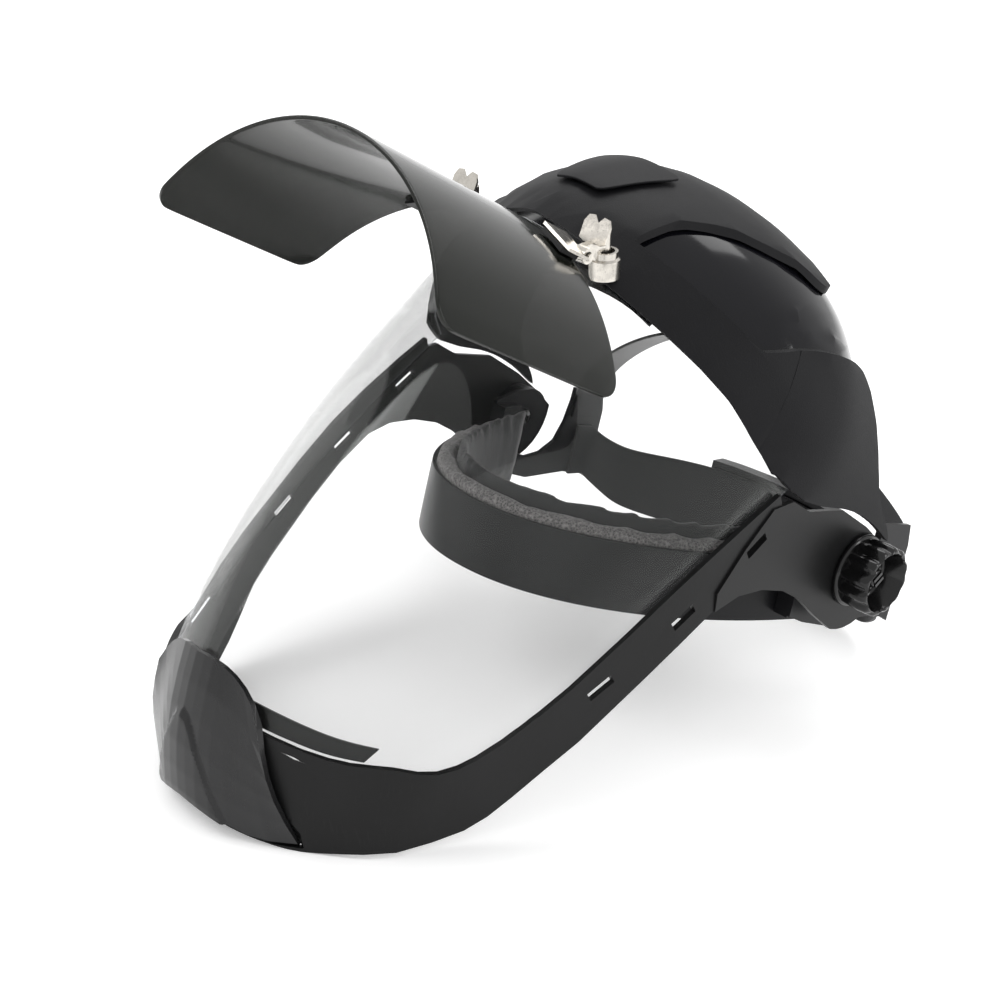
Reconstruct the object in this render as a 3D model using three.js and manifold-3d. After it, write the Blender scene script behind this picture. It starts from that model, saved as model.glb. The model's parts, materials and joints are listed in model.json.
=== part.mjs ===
// Flip-up face shield, resting on its chin band and on the back of its headgear.
// Millimetres, +Z up, -Y the wearer's front, +X the wearer's left.
// Shield and headgear are each laid out upright, with the knobs' axis as origin, and then leaned.
import * as THREE from "three";
import { mergeVertices } from "three/addons/utils/BufferGeometryUtils.js";
import Module from "manifold-3d";

// Lean of each half when the shield lies down, in degrees back from upright
const shieldLean = 45;
const headgearLean = 17;

// Clearances
const seatGap = 0.35;
const runningGap = 0.5;

// How far a seat's cutter reaches past the piece it clears, and the span of cutters that go right through
const seatDepth = 12;
const cutSpan = 400;

// Length over which two parts of one moulding run into each other
const rootLap = 1;

// Window and the shield round it, measured from the knobs' axis
const halfWidth = 116;
const windowReach = 218;
const windowHeight = 238;
const browHeight = 41.5;
const browSlope = -0.275;
const browDip = 8;
const windowLap = 5;
const windowWall = 1.2;
const frameWall = 2.6;
const retainerWall = 2;
const retainerLap = 8;
const retainerTurn = 58;
const flapWall = 2.6;
const flapBulge = 4.2;

// Side plates round the knobs
const plateRadius = 31;
const plateFace = halfWidth + seatGap + frameWall;
const studRadius = 4;

// Crown
const crownReach = 0.913 * windowReach;
const coverWall = 2.8;
const domeWall = 2.2;
const earSpread = plateFace + seatGap + coverWall;
const earCurl = 16.5;
const earSpring = 24;
const earRise = 48;
const badgeWall = 1.2;

// Slots in the side arms
const slotLength = 13;
const slotWidth = 4.4;
const slotTilt = 21;

// Flip lens
const lensWall = 2;
const lensLength = 103;
const lensHalfWidth = 100;
const lensTaper = 0.09;
const lensCorner = 9;
const lensRise = 57;
const lensTilt = 12;
const lensAhead = 8;
const lensAbove = 1;

// Clips that carry the lens, and the collars they turn on
const clipOffset = 41;
const collarSweep = 13.2;
const collarRadius = 7;
const collarNeckRadius = 6;
const collarBore = 4.6;
const collarHeight = 9;
const collarWell = 5;
const collarRoot = 3;
const barrelRadius = 2.6;
const barrelHeight = 17;
const pinRadius = 1.5;
const pinLength = 20;
const armWidth = 4;
const armWall = 2;
const armHeel = 0.3;
const armRoomLength = 40;
const armRoomHeight = 12;
const wingSpan = 15;
const wingHeight = 12;
const wingWall = 1.2;
const wingLean = 20;
const wingAhead = 8;
const knuckleWall = 1.5;
const pinBehindLens = 7.2;
const pinAboveLens = 1;
const clipPlateWall = 1.4;
const clipPlateWidth = 20;
const clipPlateReach = 8;
const jawWall = 2;
const jawWidth = 15;
const jawReach = 9;

// Tension knobs
const knobRadius = 18;
const knobDepth = 18;
const knobRecessRadius = 14;
const knobRecessDepth = 12;
const knobBossRadius = 5;
const knobBossHeight = 7;
const knobScallops = 12;
const scallopDepth = 1.6;

// Headgear
const bandHalfWidth = halfWidth - 12.5;
const bandFront = 141;
const bandWidest = 42;
const bandRoundness = 2.1;
const bandBottom = -33;
const bandHeight = 33;
const bandWall = 2;
const foamWall = 9;
const foamRise = 2;
const foamLap = 5;
const padWall = 4;
const padRise = 3;
const padLap = 11;
const yokeWall = 2.4;
const yokeFace = halfWidth - 9;
const hubRadius = 16;
const hubFace = halfWidth - 1;
const napeRear = 93;
const napeWidest = 56;
const napeForward = 44;
const napeWall = 2;
const strapWall = 1.6;
const strapFront = 37;
const strapRear = 60;
const strapFoot = 12;
const strapTail = 13;
const strapRise = 80;
const strapPower = 1.3;
const strapLean = 0.75;
const ratchetLap = 4;
const ratchetDepth = 11;
const ratchetKnobRadius = 15;
const ratchetKnobDepth = 12;
const ratchetStud = 5;
const ratchetRise = -28;

// Sections of the window from brow to chin: shares of its height, half width and reach
const windowSections = [
  { drop: 0.0, width: 1.0, side: 0.294, reach: 0.885, power: 1.5 },
  { drop: 0.244, width: 1.0, side: 0.385, reach: 0.918, power: 1.6 },
  { drop: 0.433, width: 0.984, side: 0.459, reach: 0.949, power: 1.6 },
  { drop: 0.63, width: 0.937, side: 0.532, reach: 0.978, power: 1.52 },
  { drop: 0.79, width: 0.871, side: 0.601, reach: 0.996, power: 1.42 },
  { drop: 0.924, width: 0.767, side: 0.656, reach: 1.0, power: 1.35 },
  { drop: 1.0, width: 0.7, side: 0.683, reach: 0.981, power: 1.35 },
];

// Frame from the side plate to the middle of the chin: its front edge on the window,
// as drop and turn, and its rear edge as shares of half width, reach and height
const frameStations = [
  { drop: 0.172, turn: 83, x: 1.0, y: -0.285, z: -0.055 },
  { drop: 0.244, turn: 81.5, x: 1.0, y: -0.335, z: -0.139 },
  { drop: 0.345, turn: 80, x: 0.995, y: -0.392, z: -0.235 },
  { drop: 0.441, turn: 79, x: 0.985, y: -0.43, z: -0.328 },
  { drop: 0.538, turn: 78.5, x: 0.96, y: -0.461, z: -0.424 },
  { drop: 0.672, turn: 78.2, x: 0.91, y: -0.502, z: -0.571 },
  { drop: 0.735, turn: 78, x: 0.872, y: -0.523, z: -0.643 },
  { drop: 0.811, turn: 77.8, x: 0.822, y: -0.533, z: -0.714 },
  { drop: 0.86, turn: 77.5, x: 0.785, y: -0.542, z: -0.765 },
  { drop: 0.889, turn: 76.5, x: 0.748, y: -0.557, z: -0.807 },
  { drop: 0.915, turn: 74, x: 0.7, y: -0.592, z: -0.853 },
  { drop: 0.932, turn: 70, x: 0.655, y: -0.64, z: -0.899 },
  { drop: 0.947, turn: 64, x: 0.595, y: -0.677, z: -0.929 },
  { drop: 0.978, turn: 55, x: 0.47, y: -0.713, z: -0.968 },
  { drop: 0.998, turn: 44, x: 0.38, y: -0.738, z: -0.99 },
  { drop: 1.012, turn: 24, x: 0.21, y: -0.767, z: -1.01 },
  { drop: 1.016, turn: 0, x: 0, y: -0.785, z: -1.02 },
];

// Slots down each arm: middles as shares of half width, reach and height
const slotStations = [
  { x: 1.0, y: -0.385, z: -0.099 },
  { x: 0.996, y: -0.463, z: -0.285 },
  { x: 0.935, y: -0.542, z: -0.471 },
];

// Chin flap from its middle to its side: its top edge and its low edge, shares as above
const flapStations = [
  { x: 0.0, topY: -1.026, topZ: -0.776, lowX: 0.0, lowY: -0.862, lowZ: -1.01 },
  { x: 0.078, topY: -1.021, topZ: -0.774, lowX: 0.085, lowY: -0.855, lowZ: -1.012 },
  { x: 0.143, topY: -1.006, topZ: -0.776, lowX: 0.17, lowY: -0.835, lowZ: -1.014 },
  { x: 0.2, topY: -0.988, topZ: -0.786, lowX: 0.248, lowY: -0.803, lowZ: -1.014 },
  { x: 0.252, topY: -0.968, topZ: -0.804, lowX: 0.335, lowY: -0.778, lowZ: -1.002 },
  { x: 0.3, topY: -0.946, topZ: -0.834, lowX: 0.428, lowY: -0.75, lowZ: -0.978 },
];

// Side plate seen from the side, as shares of its radius round the knob
const plateOutline = [
  { y: -2.78, z: -0.2 },
  { y: -2.45, z: 0.08 },
  { y: -1.95, z: 0.14 },
  { y: -1.16, z: 0.52 },
  { y: -0.32, z: 0.6 },
  { y: 0.45, z: 0.58 },
  ...arcOutline(1, 32, -75, 10),
  { y: -0.355, z: -0.968 },
  { y: -0.968, z: -0.935 },
  { y: -1.484, z: -1.0 },
  { y: -2.0, z: -1.194 },
  { y: -2.452, z: -1.484 },
  { y: -2.774, z: -1.871 },
  { y: -2.95, z: -1.65 },
  { y: -2.9, z: -0.9 },
];

// Crown, as arches that fan over the head about the knobs' axis, front to back:
// sweep in degrees, top and side as shares of the crown's reach, width as a share of the half width
const crownArches = [
  { sweep: -8, top: 1.0, side: 0.362, width: 1.026, power: 1.5 },
  { sweep: 9, top: 1.0, side: 0.362, width: 1.026, power: 1.5 },
  { sweep: 20, top: 0.974, side: 0.377, width: 1.026, power: 1.55 },
  { sweep: 35, top: 0.903, side: 0.392, width: 1.005, power: 1.65 },
  { sweep: 52, top: 0.789, side: 0.387, width: 0.923, power: 1.8 },
  { sweep: 69, top: 0.663, side: 0.367, width: 0.757, power: 1.95 },
  { sweep: 94, top: 0.57, side: 0.347, width: 0.626, power: 2.1 },
  { sweep: 117, top: 0.533, side: 0.337, width: 0.62, power: 2.2 },
];

// Turns at which an arch meets its legs and at which the legs end, and how far they spread and stand
const archFoot = 90;
const legFoot = 120;
const legSpread = 1.05;
const legReach = 0.07;

// Cover seen from the side, as shares of the crown's reach, from the brow's temple end round the ear panel
const earOutline = [
  { y: -0.47, z: 0.035 },
  { y: -0.352, z: 0.028 },
  { y: -0.18, z: 0.088 },
  { y: -0.05, z: 0.105 },
  { y: 0.04, z: 0.1 },
  { y: -0.001, z: 0.127 },
  { y: -0.084, z: 0.157 },
  { y: -0.158, z: 0.23 },
  { y: -0.216, z: 0.317 },
  { y: -0.265, z: 0.368 },
  { y: -0.31, z: 0.376 },
  { y: -0.363, z: 0.367 },
  { y: -0.447, z: 0.341 },
  { y: -0.527, z: 0.298 },
  { y: -0.6, z: 0.245 },
  { y: -0.668, z: 0.262 },
  { y: -0.74, z: 0.281 },
  { y: -0.8, z: 0.295 },
  { y: -0.86, z: 0.31 },
];

// Part of the fanned crown that the ear panels take the place of, and the panels' own reach, shares as above
const earZone = { front: -0.402, rear: 0.452, low: -0.452, high: 0.452 };
const earReach = { front: -0.523, rear: 0.171, low: -0.02, high: 0.402, leave: -0.513, stand: -0.332 };

// Ridge seen from above, from the brow to its rear edge, as shares of half width and crown reach
const ridgeOutline = [
  { x: 0.33, y: -1.3 },
  { x: 0.345, y: -0.845 },
  { x: 0.405, y: -0.724 },
  { x: 0.526, y: -0.598 },
  { x: 0.612, y: -0.492 },
  { x: 0.665, y: -0.41 },
  { x: 0.64, y: -0.36 },
  { x: 0.5, y: -0.27 },
  { x: 0.25, y: -0.18 },
];

// Badge panel: its sweeps and half turns at front and rear, and how much its corners draw in
const badge = { front: 23, rear: 36, narrow: 11, wide: 16, draw: 0.14 };

// Yoke plate, its neck to the headband, and the crescent behind its hub, as shares of the hub's radius
const yokeOutline = [
  { y: -1.5625, z: 0.625 },
  { y: -0.625, z: 0.9375 },
  { y: 0.875, z: 1.0625 },
  { y: 2.25, z: 1.0 },
  { y: 3.8125, z: 0.8125 },
  { y: 4.0, z: 0.125 },
  { y: 4.0, z: -2.4375 },
  { y: 3.5625, z: -2.25 },
  { y: 2.5625, z: -2.125 },
  { y: 0.6875, z: -2.25 },
  { y: -0.8125, z: -1.9375 },
  { y: -1.5625, z: -1.6875 },
];
const neckOutline = [
  { y: -1.5625, z: 0.5 },
  { y: -0.5625, z: 0.5 },
  { y: -0.5625, z: -1.75 },
  { y: -1.5625, z: -1.75 },
];
const neckReach = 14;
const crescentOuter = [
  { y: 0.1875, z: 1.5 },
  { y: 2.3125, z: 1.5 },
  { y: 2.281, z: 0.5625 },
  { y: 2.125, z: -0.25 },
  { y: 1.8125, z: -0.9375 },
  { y: 1.1875, z: -1.344 },
  { y: 0.5, z: -1.469 },
  { y: -0.125, z: -1.3125 },
];

// Low and top edges of the nape band at turns round the back, as shares of the headband's height
const napeStations = [
  { turn: 0, low: -1.485, top: -0.273 },
  { turn: 20, low: -1.485, top: -0.303 },
  { turn: 56, low: -1.515, top: -0.485 },
  { turn: 72, low: -1.303, top: -0.394 },
  { turn: 90, low: -1.061, top: -0.182 },
];

const wasm = await Module();
wasm.setup();

// Measures and curves

function degrees(turn) {
  return THREE.MathUtils.degToRad(turn);
}

// Smooth value of a column between the rows of a table
function along(table, key, at, column) {
  const last = table.length - 1;
  const slope = (i) => {
    const a = table[Math.max(i - 1, 0)];
    const b = table[Math.min(i + 1, last)];
    return (b[column] - a[column]) / (b[key] - a[key]);
  };
  let i = 0;
  while (i < last - 1 && at > table[i + 1][key]) i += 1;
  const from = table[i];
  const to = table[i + 1];
  const span = to[key] - from[key];
  const t = THREE.MathUtils.clamp((at - from[key]) / span, 0, 1);
  const rise = to[column] - from[column];
  const a = slope(i) * span - rise;
  const b = -slope(i + 1) * span + rise;
  return from[column] + t * rise + t * (1 - t) * (a * (1 - t) + b * t);
}

function steps(from, to, count) {
  return Array.from({ length: count + 1 }, (_, i) => from + ((to - from) * i) / count);
}

// Point on a quarter arch whose sharpness follows its power
function arch(turn, power) {
  const s = Math.sin(degrees(turn));
  const c = Math.max(Math.cos(degrees(turn)), 0);
  return { x: Math.sign(s) * Math.abs(s) ** (2 / power), y: c ** (2 / power) };
}

function arcOutline(radius, from, to, count) {
  return steps(from, to, count).map((turn) => ({
    y: radius * Math.cos(degrees(turn)),
    z: radius * Math.sin(degrees(turn)),
  }));
}

function scaled(outline, size) {
  return outline.map((p) => ({ y: size * p.y, z: size * p.z }));
}

// Smooth line through the points of an outline
function smoothed(outline, count) {
  const line = new THREE.SplineCurve(outline.map((p) => new THREE.Vector2(p.y, p.z)));
  return line.getPoints(count).map((p) => ({ y: p.x, z: p.y }));
}

function acrossMirror(p) {
  return new THREE.Vector3(-p.x, p.y, p.z);
}

// Closed solids

function indexed(points, faces) {
  const geometry = new THREE.BufferGeometry();
  const numbers = points.flatMap((p) => p.toArray());
  geometry.setAttribute("position", new THREE.Float32BufferAttribute(numbers, 3));
  geometry.setIndex(faces.flat());
  return facedOut(geometry);
}

function signedVolume(geometry) {
  const place = geometry.attributes.position;
  const corner = (i) => new THREE.Vector3().fromBufferAttribute(place, geometry.index.getX(i));
  let sum = 0;
  for (let i = 0; i < geometry.index.count; i += 3) {
    sum += corner(i).dot(corner(i + 1).cross(corner(i + 2)));
  }
  return sum / 6;
}

function facedOut(geometry) {
  if (signedVolume(geometry) < 0) {
    const index = geometry.index.array;
    for (let i = 0; i < index.length; i += 3) [index[i], index[i + 1]] = [index[i + 1], index[i]];
  }
  return geometry;
}

function gridNormals(grid) {
  const { clamp } = THREE.MathUtils;
  const at = (i, j) => grid[clamp(i, 0, grid.length - 1)][clamp(j, 0, grid[0].length - 1)];
  return grid.map((row, i) => row.map((_, j) => {
    const down = at(i + 1, j).clone().sub(at(i - 1, j));
    const across = at(i, j + 1).clone().sub(at(i, j - 1));
    return down.cross(across).normalize();
  }));
}

// Wall between a grid of points moved out by the lift and the same grid one wall further in;
// `within` keeps only some rows and columns of the grid
function wallOf(grid, wall, { centre = new THREE.Vector3(), lift = 0, within = {} } = {}) {
  const [top, bottom] = within.rows ?? [0, grid.length - 1];
  const [first, last] = within.columns ?? [0, grid[0].length - 1];
  const normals = gridNormals(grid);
  const outwards = normals.flat();
  const facing = grid.flat().reduce((sum, p, n) => sum + outwards[n].dot(p.clone().sub(centre)), 0);
  const out = Math.sign(facing);
  const rows = bottom - top + 1;
  const columns = last - first + 1;
  const moved = (by) => grid.slice(top, bottom + 1).flatMap((row, i) => (
    row.slice(first, last + 1).map((p, j) => (
      p.clone().addScaledVector(normals[top + i][first + j], out * by)
    ))
  ));
  const count = rows * columns;
  const points = [...moved(lift), ...moved(lift - wall)];
  const faces = [];
  const quad = (a, b, c, d) => faces.push([a, b, c], [a, c, d]);
  for (let i = 0; i < rows - 1; i += 1) {
    for (let j = 0; j < columns - 1; j += 1) {
      const a = i * columns + j;
      quad(a, a + columns, a + columns + 1, a + 1);
      quad(count + a, count + a + 1, count + a + columns + 1, count + a + columns);
    }
  }
  const rim = (a, b) => quad(a, b, count + b, count + a);
  for (let j = 0; j < columns - 1; j += 1) {
    rim(j, j + 1);
    rim((rows - 1) * columns + j + 1, (rows - 1) * columns + j);
  }
  for (let i = 0; i < rows - 1; i += 1) {
    rim((i + 1) * columns, i * columns);
    rim(i * columns + columns - 1, (i + 1) * columns + columns - 1);
  }
  return indexed(points, faces);
}

function welded(geometry) {
  const bare = geometry.clone();
  for (const name of Object.keys(bare.attributes)) if (name !== "position") bare.deleteAttribute(name);
  bare.clearGroups();
  return mergeVertices(bare, 1e-4);
}

function solid(geometry) {
  const mesh = welded(geometry);
  return new wasm.Manifold(new wasm.Mesh({
    numProp: 3,
    vertProperties: Float32Array.from(mesh.attributes.position.array),
    triVerts: Uint32Array.from(mesh.index.array),
  }));
}

function shaped(body) {
  const mesh = body.getMesh();
  const geometry = new THREE.BufferGeometry();
  const place = new THREE.BufferAttribute(Float32Array.from(mesh.vertProperties), 3);
  geometry.setAttribute("position", place);
  geometry.setIndex(Array.from(mesh.triVerts));
  return geometry;
}

function cut(geometry, ...cutters) {
  return shaped(cutters.reduce((body, cutter) => body.subtract(solid(cutter)), solid(geometry)));
}

function joined(...geometries) {
  return shaped(geometries.map(solid).reduce((body, next) => body.add(next)));
}

function common(a, b) {
  return shaped(solid(a).intersect(solid(b)));
}

function mirrored(geometry) {
  const copy = geometry.clone();
  copy.scale(-1, 1, 1);
  if (!copy.index) copy.setIndex(Array.from({ length: copy.attributes.position.count }, (_, i) => i));
  return facedOut(copy);
}

// Flat plate with the given side view, its faces at two distances from the centre plane
function sidePlate(outline, near, far) {
  const shape = new THREE.Shape(outline.map((p) => new THREE.Vector2(p.y, p.z)));
  const plate = new THREE.ExtrudeGeometry(shape, { depth: far - near, bevelEnabled: false });
  plate.applyMatrix4(new THREE.Matrix4().makeBasis(
    new THREE.Vector3(0, 1, 0), new THREE.Vector3(0, 0, 1), new THREE.Vector3(1, 0, 0),
  ));
  plate.translate(near, 0, 0);
  return plate;
}

// Side plate that reaches right through the object
function throughPlate(outline) {
  return sidePlate(outline, -cutSpan / 2, cutSpan / 2);
}

// Turned solid about the knobs' axis, from a profile of radius and distance out
function turned(profile, sides) {
  const lathe = new THREE.LatheGeometry(profile.map((p) => new THREE.Vector2(p.r, p.out)), sides);
  lathe.rotateZ(-Math.PI / 2);
  return facedOut(welded(lathe));
}

function disc(radius, near, far, sides) {
  return turned([
    { r: 0, out: near }, { r: radius, out: near }, { r: radius, out: far }, { r: 0, out: far },
  ], sides);
}

// Clearance hole for the studs that the shield turns on
function studBore() {
  return disc(studRadius + runningGap, -cutSpan / 2, cutSpan / 2, 20);
}

// Window

function windowPoint(drop, turn) {
  const read = (column) => along(windowSections, "drop", drop, column);
  const side = read("side");
  const curve = arch(turn, read("power"));
  const reach = side + (read("reach") - side) * curve.y;
  return new THREE.Vector3(
    halfWidth * read("width") * curve.x, -windowReach * reach, browHeight - windowHeight * drop,
  );
}

// Height of the brow's line at a distance from the pivots: it slopes back and dips at the temples
function browAt(y) {
  const dip = browDip * THREE.MathUtils.smoothstep(y, -0.6 * windowReach, -0.43 * windowReach);
  return browHeight + browSlope * (y + windowSections[0].reach * windowReach) - dip;
}

// Drop at which the window meets the brow, at each turn
function browDrop(turn) {
  let drop = 0;
  for (let n = 0; n < 12; n += 1) {
    drop = (browHeight - browAt(windowPoint(drop, turn).y) - windowLap) / windowHeight;
  }
  return drop;
}

// Drop at which the window meets the frame's front edge; the arms end the rim at the rim's last turn
const rimEnd = 77.5;
const rimStations = [...frameStations].reverse();

// The strip has a row at each station, and at these turns between the stations of the chin
const chinTurns = [60, 50, 38, 31, 18, 9];
const frameTurns = [...frameStations.map((station) => station.turn), ...chinTurns].sort((a, b) => b - a);

function rimDrop(turn) {
  return along(rimStations, "turn", Math.min(Math.abs(turn), rimEnd), "drop");
}

// The window's grid runs one row and one column past the window on every side
const windowFoot = 1.02;
const windowShares = [-0.02, ...steps(0, 1, 7), 1.004];
const windowTurns = [-87.5, ...steps(-86, 86, 24), 87.5];
const windowGrid = windowShares.map((share) => windowTurns.map((turn) => {
  const low = Math.min(rimDrop(turn) + windowLap / windowHeight, windowFoot);
  return windowPoint(THREE.MathUtils.lerp(browDrop(turn), low, share), turn);
}));
const windowSeat = wallOf(windowGrid, windowWall + seatDepth, { lift: seatGap });

function clearWindow() {
  return wallOf(windowGrid, windowWall, {
    within: { rows: [1, windowShares.length - 2], columns: [1, windowTurns.length - 2] },
  });
}

function windowRetainer() {
  const grid = steps(0, 1, 2).map((share) => steps(-retainerTurn, retainerTurn, 20).map((turn) => (
    windowPoint(rimDrop(turn) - (retainerLap / windowHeight) * (1 - share), turn)
  )));
  return wallOf(grid, retainerWall, { lift: -windowWall - 2 * seatGap });
}

// Chin flap

const flapEdge = flapStations[flapStations.length - 1].x;

function flapEdges(x) {
  const read = (column) => along(flapStations, "x", x, column);
  const past = Math.max(x - flapEdge, 0);
  return [
    new THREE.Vector3(halfWidth * x, windowReach * read("topY"), windowHeight * read("topZ")),
    new THREE.Vector3(
      halfWidth * (read("lowX") + past), windowReach * read("lowY"), windowHeight * read("lowZ"),
    ),
  ];
}

// The flap's grid runs one row and one column past the flap on every side
const flapShares = [-0.04, ...steps(0, 1, 5), 1.04];
const flapHalf = [...steps(0, flapEdge, 7), 1.04 * flapEdge].map(flapEdges);
const flapRows = [...flapHalf.slice(1).reverse().map((pair) => pair.map(acrossMirror)), ...flapHalf];
const flapGrid = flapRows.map(([top, low]) => flapShares.map((share) => {
  const bulge = flapBulge * Math.sin(Math.PI * THREE.MathUtils.clamp(share, 0, 1)) * Math.SQRT1_2;
  return top.clone().lerp(low, share).add(new THREE.Vector3(0, -bulge, -bulge));
}));

function chinFlap() {
  const within = { rows: [1, flapRows.length - 2], columns: [1, flapShares.length - 2] };
  return cut(wallOf(flapGrid, flapWall, { within }), windowSeat);
}

// Frame

// A point well inside the shield, to tell its walls' outer side
const insideShield = new THREE.Vector3(0, -0.275 * windowReach, -0.252 * windowHeight);

function frameStrip() {
  const half = frameTurns.map((turn) => {
    const read = (column) => along(rimStations, "turn", turn, column);
    return [
      windowPoint(read("drop"), turn),
      new THREE.Vector3(halfWidth * read("x"), windowReach * read("y"), windowHeight * read("z")),
    ];
  });
  const rows = [...half, ...half.slice(0, -1).reverse().map((pair) => pair.map(acrossMirror))];
  const grid = rows.map(([front, rear]) => steps(0, 1, 3).map((share) => front.clone().lerp(rear, share)));
  return wallOf(grid, frameWall, { centre: insideShield, lift: seatGap + frameWall });
}

function armSlot(station) {
  const box = new THREE.BoxGeometry(seatDepth, slotWidth, slotLength);
  box.rotateX(degrees(-slotTilt));
  box.translate(halfWidth * station.x, windowReach * station.y, windowHeight * station.z);
  return box;
}

function shieldFrame() {
  const plate = sidePlate(scaled(plateOutline, plateRadius), halfWidth + seatGap, plateFace);
  const slots = slotStations.map(armSlot);
  const flapSeat = wallOf(flapGrid, flapWall + seatGap + seatDepth, { lift: seatDepth });
  const body = joined(frameStrip(), plate, mirrored(plate));
  return cut(body, windowSeat, flapSeat, studBore(), ...slots, ...slots.map(mirrored));
}

// Crown

function crownPoint(sweep, across) {
  const read = (column) => along(crownArches, "sweep", sweep, column);
  const side = crownReach * read("side");
  const curve = arch(THREE.MathUtils.clamp(across, -archFoot, archFoot), read("power"));
  const leg = Math.max(Math.abs(across) - archFoot, 0) / (legFoot - archFoot);
  const reach = side + (crownReach * read("top") - side) * curve.y;
  const radius = THREE.MathUtils.lerp(reach, legReach * crownReach, leg);
  const spread = halfWidth * THREE.MathUtils.lerp(read("width"), legSpread, leg);
  return new THREE.Vector3(
    spread * curve.x, -radius * Math.cos(degrees(sweep)), radius * Math.sin(degrees(sweep)),
  );
}

// Point of the crown at a sweep and a distance from the centre plane
function crownSpot(sweep, x) {
  const width = halfWidth * along(crownArches, "sweep", sweep, "width");
  const power = along(crownArches, "sweep", sweep, "power");
  return crownPoint(sweep, THREE.MathUtils.radToDeg(Math.asin((x / width) ** (power / 2))));
}

const crownFan = [...steps(-8, 36, 6), ...steps(45, 105, 6)].map((sweep) => (
  [-legFoot, ...steps(-archFoot, archFoot, 24), legFoot].map((turn) => crownPoint(sweep, turn))
));

// Rows and columns of the fan that the inner dome keeps
const domePart = { rows: [4, 12], columns: [2, 24] };

// How far out the crown stands at a place in the side view
function crownWidth(y, z) {
  const { clamp } = THREE.MathUtils;
  const sweep = clamp(THREE.MathUtils.radToDeg(Math.atan2(z, -y)), crownArches[0].sweep, 117);
  const read = (column) => along(crownArches, "sweep", sweep, column);
  const rise = Math.hypot(y, z) / crownReach - read("side");
  const share = clamp(rise / (read("top") - read("side")), 0, 1);
  const across = Math.sqrt(1 - share ** read("power"));
  return halfWidth * read("width") * across ** (2 / read("power"));
}

// Ear panel: it leaves the crown's surface near the temple and stands outside the pivots
const earColumn = steps(crownReach * earReach.low, crownReach * earReach.high, 8);
const earGrid = steps(crownReach * earReach.front, crownReach * earReach.rear, 9).map((y) => (
  earColumn.map((z) => {
    const flank = earSpread - earCurl * Math.max((z - earSpring) / earRise, 0) ** 2;
    const stands = THREE.MathUtils.smoothstep(y / crownReach, earReach.leave, earReach.stand);
    return new THREE.Vector3(THREE.MathUtils.lerp(crownWidth(y, z), flank, stands), y, z);
  })
));
const insideEar = new THREE.Vector3(-crownReach, 0, 0);

function earPanel() {
  return wallOf(earGrid, coverWall, { centre: insideEar });
}

function earSeat() {
  return wallOf(earGrid, coverWall + 2 * seatGap + seatDepth, { centre: insideEar, lift: seatDepth });
}

// Everything below the brow, seen from the side
function browCutter() {
  const line = steps(-1.5, earOutline[0].y, 14).map((share) => (
    { y: crownReach * share, z: browAt(crownReach * share) }
  ));
  return throughPlate([
    ...line, { y: 0, z: -0.3 * crownReach }, { y: 0, z: -2 * crownReach },
    { y: -1.5 * crownReach, z: -2 * crownReach },
  ]);
}

function ridgePrism() {
  const flank = new THREE.SplineCurve(ridgeOutline.map((p) => (
    new THREE.Vector2(halfWidth * p.x, crownReach * p.y)
  ))).getPoints(22);
  const other = flank.map((p) => new THREE.Vector2(-p.x, p.y)).reverse();
  const outline = new THREE.Shape([...flank, ...other]);
  return new THREE.ExtrudeGeometry(outline, { depth: cutSpan, bevelEnabled: false });
}

function crownCover() {
  const fan = wallOf(crownFan, coverWall);
  const keep = throughPlate([
    { y: -1.5 * crownReach, z: 0.4 * crownReach },
    { y: -1.5 * crownReach, z: -crownReach },
    { y: -0.5 * crownReach, z: -crownReach },
    ...smoothed(scaled(earOutline, crownReach), 40),
  ]);
  const earPlace = throughPlate(scaled([
    { y: earZone.front, z: earZone.low }, { y: earZone.front, z: earZone.high },
    { y: earZone.rear, z: earZone.high }, { y: earZone.rear, z: earZone.low },
  ], crownReach));
  const brow = cut(common(fan, keep), earPlace);
  const ridge = common(fan, ridgePrism());
  const ears = common(joined(earPanel(), mirrored(earPanel())), keep);
  return cut(joined(brow, ridge, ears), browCutter(), windowSeat);
}

function crownDome() {
  const dome = wallOf(crownFan, domeWall, { lift: -coverWall - seatGap, within: domePart });
  return cut(dome, earSeat(), mirrored(earSeat()));
}

function badgePlate() {
  const grid = [0, 0.04, 0.14, 0.5, 0.86, 0.96, 1].map((share) => {
    const half = THREE.MathUtils.lerp(badge.narrow, badge.wide, share);
    const turn = half * (1 - badge.draw * Math.abs(2 * share - 1) ** 12);
    const sweep = THREE.MathUtils.lerp(badge.front, badge.rear, share);
    return steps(-1, 1, 8).map((side) => crownPoint(sweep, side * turn));
  });
  return wallOf(grid, badgeWall, { lift: badgeWall + 1.5 * seatGap });
}

// Flip lens

const lensForward = new THREE.Vector3(0, -Math.cos(degrees(lensTilt)), -Math.sin(degrees(lensTilt)));
const lensUp = new THREE.Vector3(0, -Math.sin(degrees(lensTilt)), Math.cos(degrees(lensTilt)));
const lensRoot = new THREE.Vector3(0, -crownReach - lensAhead, browHeight + lensAbove);
const lensCentre = lensRoot.clone().addScaledVector(lensForward, 0.5 * lensLength)
  .addScaledVector(lensUp, -2 * lensHalfWidth);

// Point of the lens at a distance forward and a share of its half width
function lensPoint(forward, side) {
  const chord = lensHalfWidth * (1 - (lensTaper * forward) / lensLength);
  const radius = (chord ** 2 + lensRise ** 2) / (2 * lensRise);
  const angle = Math.asin(chord / radius) * side;
  return lensRoot.clone().addScaledVector(lensForward, forward)
    .addScaledVector(lensUp, radius * (Math.cos(angle) - 1))
    .add(new THREE.Vector3(radius * Math.sin(angle), 0, 0));
}

// How far the rounded corners draw the lens's edges in at a share of its half width
function cornerDraw(side) {
  const past = Math.max(Math.abs(side) * lensHalfWidth - lensHalfWidth + lensCorner, 0);
  return lensCorner - Math.sqrt(lensCorner ** 2 - past ** 2);
}

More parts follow.
